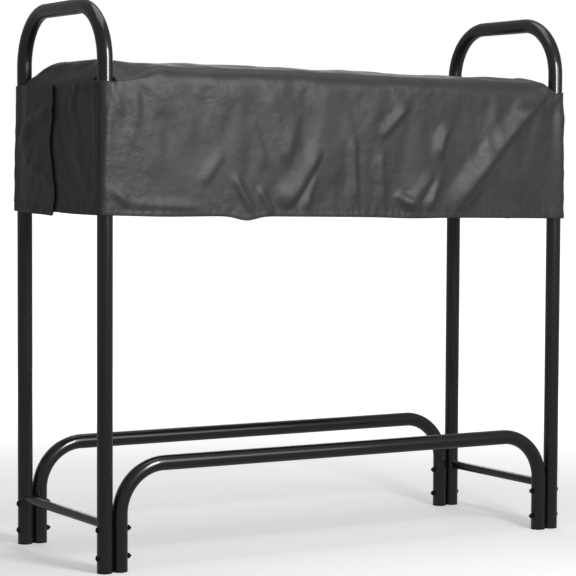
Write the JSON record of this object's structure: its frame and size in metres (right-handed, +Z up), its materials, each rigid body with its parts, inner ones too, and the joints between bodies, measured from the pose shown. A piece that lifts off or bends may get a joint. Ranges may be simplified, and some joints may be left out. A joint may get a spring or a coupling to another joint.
{
  "type": "firewood log rack",
  "caption": "Tubular steel firewood rack: end hoops with handle tops, bent base rails, crossbars and bolts, under a fabric cover that slides down as the stack shrinks.",
  "frame": {"origin": "on the floor, in the middle of the rack's length and depth", "axes": "+X along the rack to its right end, +Y from front to rear, +Z up"},
  "size_m": [1.1716, 0.429, 1.156],
  "materials": {
    "powder_coated_tube": "semi-gloss black powder coat on welded steel tube",
    "black_fastener": "black zinc on steel",
    "end_plug": "black moulded polyethylene",
    "cover_fabric": "charcoal coated woven polyester with a soft sheen",
    "closure_tape": "black hook-and-loop tape"
  },
  "bodies": {
    "frame": {"left_end_hoop": "powder_coated_tube", "left_crossbar": "powder_coated_tube", "right_end_hoop": "powder_coated_tube", "right_crossbar": "powder_coated_tube", "front_base_rail": "powder_coated_tube", "rear_base_rail": "powder_coated_tube", "left_front_upright_plug": "end_plug", "left_front_leg_plug": "end_plug", "left_front_lower_bolt": "black_fastener", "left_front_lower_nut": "black_fastener", "left_front_upper_bolt": "black_fastener", "left_front_upper_nut": "black_fastener", "left_rear_upright_plug": "end_plug", "left_rear_leg_plug": "end_plug", "left_rear_lower_bolt": "black_fastener", "left_rear_lower_nut": "black_fastener", "left_rear_upper_bolt": "black_fastener", "left_rear_upper_nut": "black_fastener", "right_front_upright_plug": "end_plug", "right_front_leg_plug": "end_plug", "right_front_lower_bolt": "black_fastener", "right_front_lower_nut": "black_fastener", "right_front_upper_bolt": "black_fastener", "right_front_upper_nut": "black_fastener", "right_rear_upright_plug": "end_plug", "right_rear_leg_plug": "end_plug", "right_rear_lower_bolt": "black_fastener", "right_rear_lower_nut": "black_fastener", "right_rear_upper_bolt": "black_fastener", "right_rear_upper_nut": "black_fastener"},
    "cover": {"cover_top_panel": "cover_fabric", "cover_front_panel": "cover_fabric", "cover_rear_panel": "cover_fabric"},
    "left_outer_flap": {"left_rear_flap": "cover_fabric", "left_hook_tape": "closure_tape"},
    "left_inner_flap": {"left_front_flap": "cover_fabric", "left_loop_tape": "closure_tape"},
    "right_outer_flap": {"right_rear_flap": "cover_fabric", "right_hook_tape": "closure_tape"},
    "right_inner_flap": {"right_front_flap": "cover_fabric", "right_loop_tape": "closure_tape"}
  },
  "joints": [
    {"name": "cover_slide", "type": "slide", "parent": "frame", "child": "cover", "axis": [0, 0, 1], "range_m": [-0.55, 0.02]},
    {"name": "left_outer_flap_hinge", "type": "hinge", "parent": "cover", "child": "left_outer_flap", "pos_m": [-0.5805, 0.19475, 0.85], "axis": [0, 0, -1], "range_deg": [0, 150]},
    {"name": "left_inner_flap_hinge", "type": "hinge", "parent": "cover", "child": "left_inner_flap", "pos_m": [-0.5805, -0.19475, 0.85], "axis": [0, 0, 1], "range_deg": [0, 67.5]},
    {"name": "right_outer_flap_hinge", "type": "hinge", "parent": "cover", "child": "right_outer_flap", "pos_m": [0.5805, 0.19475, 0.85], "axis": [0, 0, 1], "range_deg": [0, 150]},
    {"name": "right_inner_flap_hinge", "type": "hinge", "parent": "cover", "child": "right_inner_flap", "pos_m": [0.5805, -0.19475, 0.85], "axis": [0, 0, -1], "range_deg": [0, 67.5]}
  ],
  "couplings": [
    {"joint": "left_inner_flap_hinge", "follows": "left_outer_flap_hinge", "ratio": 0.45},
    {"joint": "right_inner_flap_hinge", "follows": "right_outer_flap_hinge", "ratio": 0.45}
  ]
}
